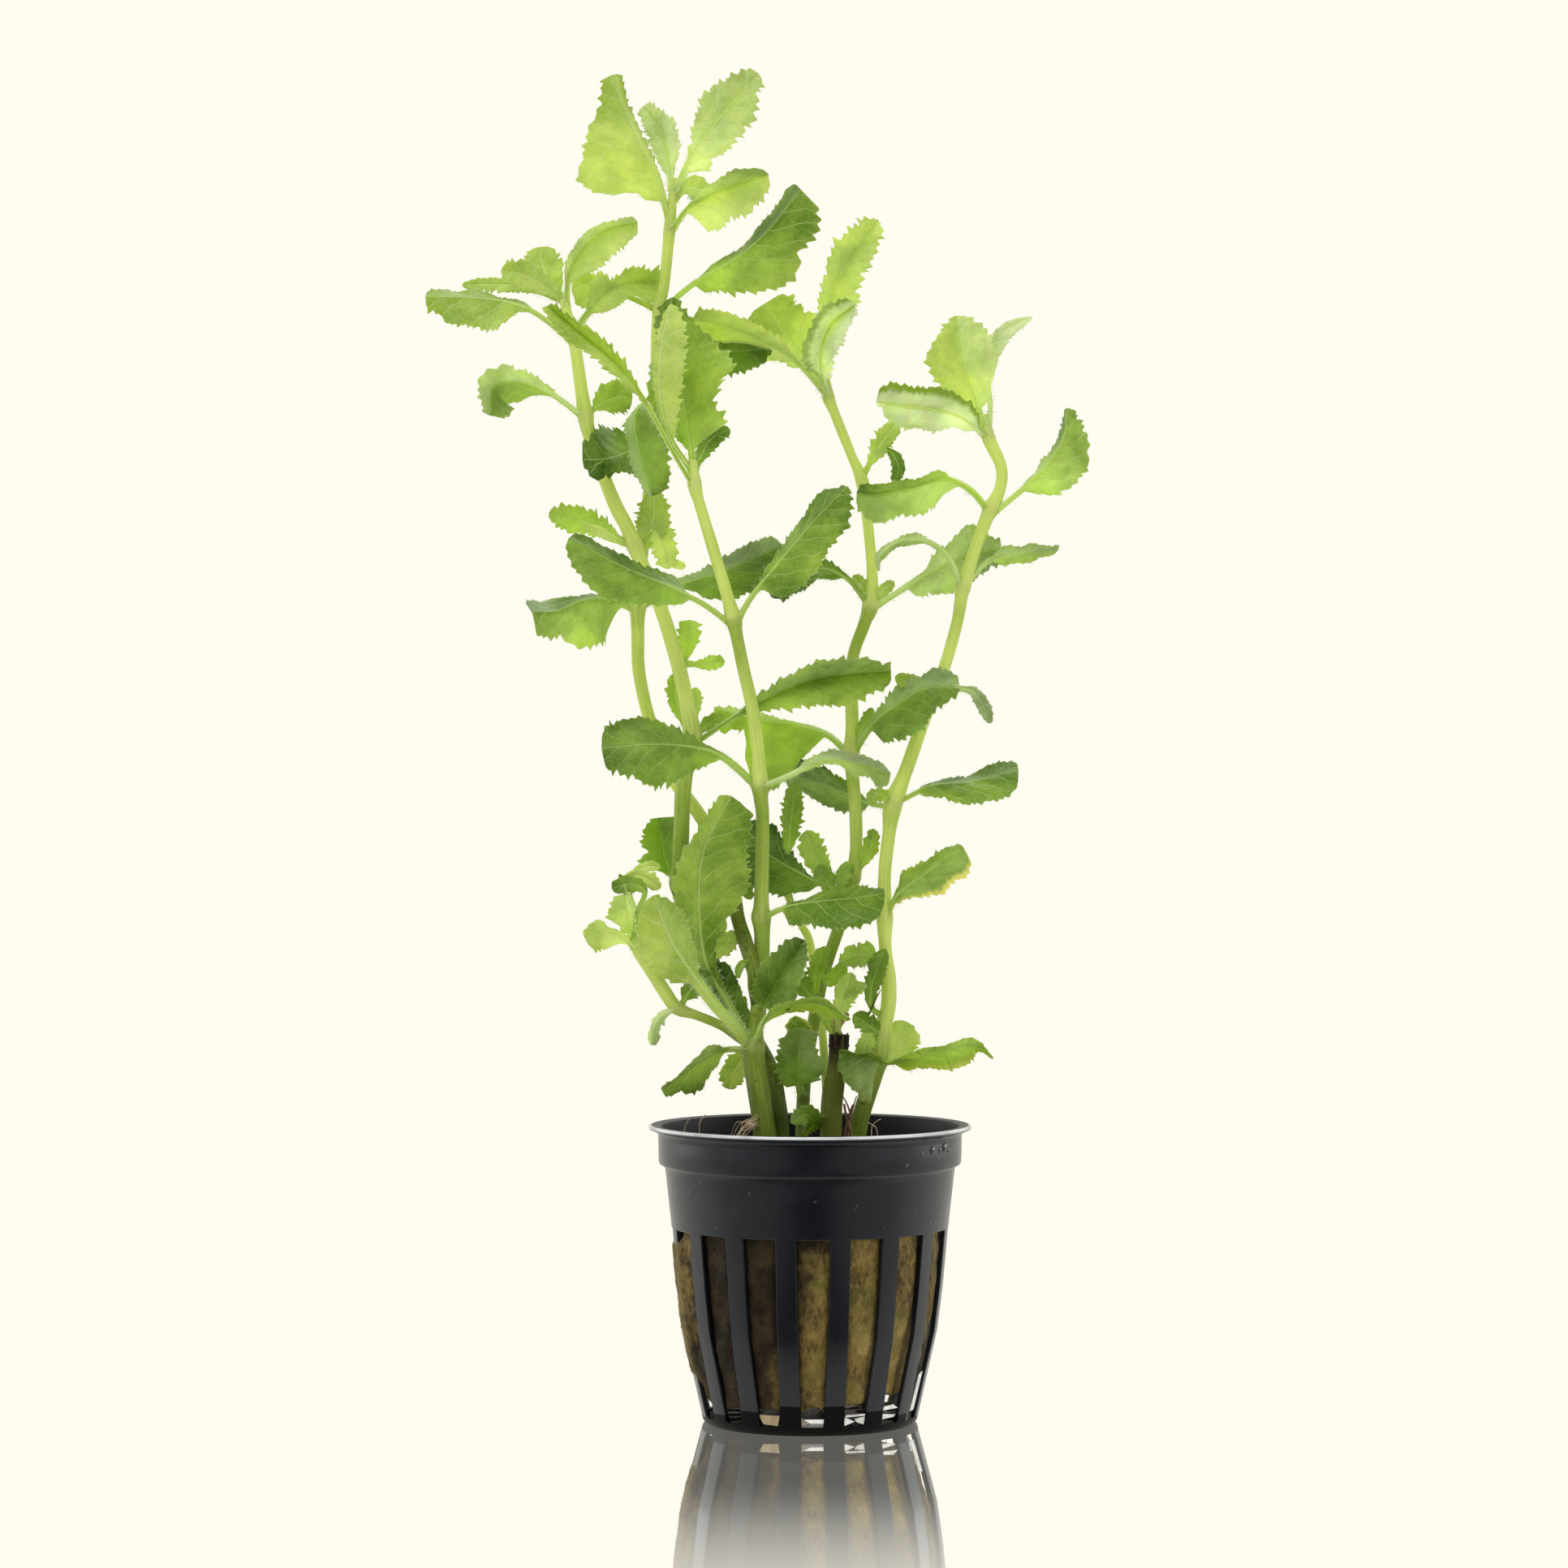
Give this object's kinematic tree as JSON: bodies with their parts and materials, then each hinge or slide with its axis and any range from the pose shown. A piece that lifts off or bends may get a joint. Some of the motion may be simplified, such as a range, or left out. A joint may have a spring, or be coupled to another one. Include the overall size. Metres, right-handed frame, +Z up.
{
  "type": "potted water wisteria",
  "caption": "Water wisteria: slender branching stems with toothed oval leaves, standing in rockwool in a black slotted net pot.",
  "frame": {"origin": "centre of the pot's foot, on the plane that it stands on", "axes": "+Z up along the pot's axis, -Y towards the plant's front, +X to the front's right"},
  "size_m": [0.1161, 0.0568, 0.2369],
  "materials": {
    "pot_plastic": "satin",
    "rockwool": "fibrous",
    "stem_green": "satin",
    "stem_old": "rough",
    "leaf_young": "satin",
    "leaf_mid": "satin",
    "leaf_dark": "satin"
  },
  "bodies": {
    "root": {"pot": "pot_plastic", "rockwool": "rockwool", "stem_a": "stem_green", "stem_b": "stem_green", "stem_c": "stem_green", "stem_d": "stem_green", "stem_e": "stem_green", "stem_cut": "stem_old", "side_shoot": "stem_green", "leaf_a_crown_left": "leaf_young", "leaf_a_crown_back": "leaf_young", "leaf_a_crown_right": "leaf_young", "leaf_a_209_right": "leaf_young", "leaf_a_195_right": "leaf_mid", "leaf_a_176_left": "leaf_dark", "leaf_a_176_hanging": "leaf_dark", "leaf_a_143_left": "leaf_mid", "leaf_a_143_right": "leaf_dark", "leaf_b_crown_right": "leaf_young", "leaf_b_crown_upright": "leaf_young", "leaf_b_crown_left": "leaf_young", "leaf_b_176_left": "leaf_mid", "leaf_b_120_right": "leaf_mid", "leaf_b_94_left": "leaf_dark", "leaf_c_crown_left": "leaf_young", "leaf_c_crown_up": "leaf_mid", "leaf_c_140_left": "leaf_dark", "leaf_c_140_right": "leaf_mid", "leaf_c_111_left": "leaf_dark", "leaf_c_111_right": "leaf_mid", "leaf_c_88_right": "leaf_mid", "leaf_c_66_tall": "leaf_mid", "leaf_c_66_left": "leaf_young", "leaf_c_66_arching": "leaf_mid", "leaf_c_65_low": "leaf_mid", "leaf_c_72_right": "leaf_dark", "leaf_shoot_hooked": "leaf_mid", "leaf_shoot_left": "leaf_young", "leaf_shoot_up": "leaf_young", "leaf_d_crown_up": "leaf_young", "leaf_d_crown_front": "leaf_young", "leaf_d_crown_back": "leaf_young", "leaf_d_crown_left": "leaf_young", "leaf_d_143_left": "leaf_dark", "leaf_d_143_right": "leaf_mid", "leaf_d_117_left": "leaf_mid", "leaf_d_117_right": "leaf_dark", "leaf_d_95_left": "leaf_dark", "leaf_d_57_front": "leaf_dark", "leaf_e_crown_up": "leaf_young", "leaf_e_crown_left": "leaf_young", "leaf_e_159_left": "leaf_mid", "leaf_e_159_right": "leaf_mid", "leaf_e_145_left": "leaf_mid", "leaf_e_145_right": "leaf_mid", "leaf_e_108_left": "leaf_dark", "leaf_e_108_right": "leaf_mid", "leaf_e_88_right": "leaf_mid", "leaf_e_62_right": "leaf_mid", "leaf_e_62_front": "leaf_mid"}
  },
  "joints": []
}
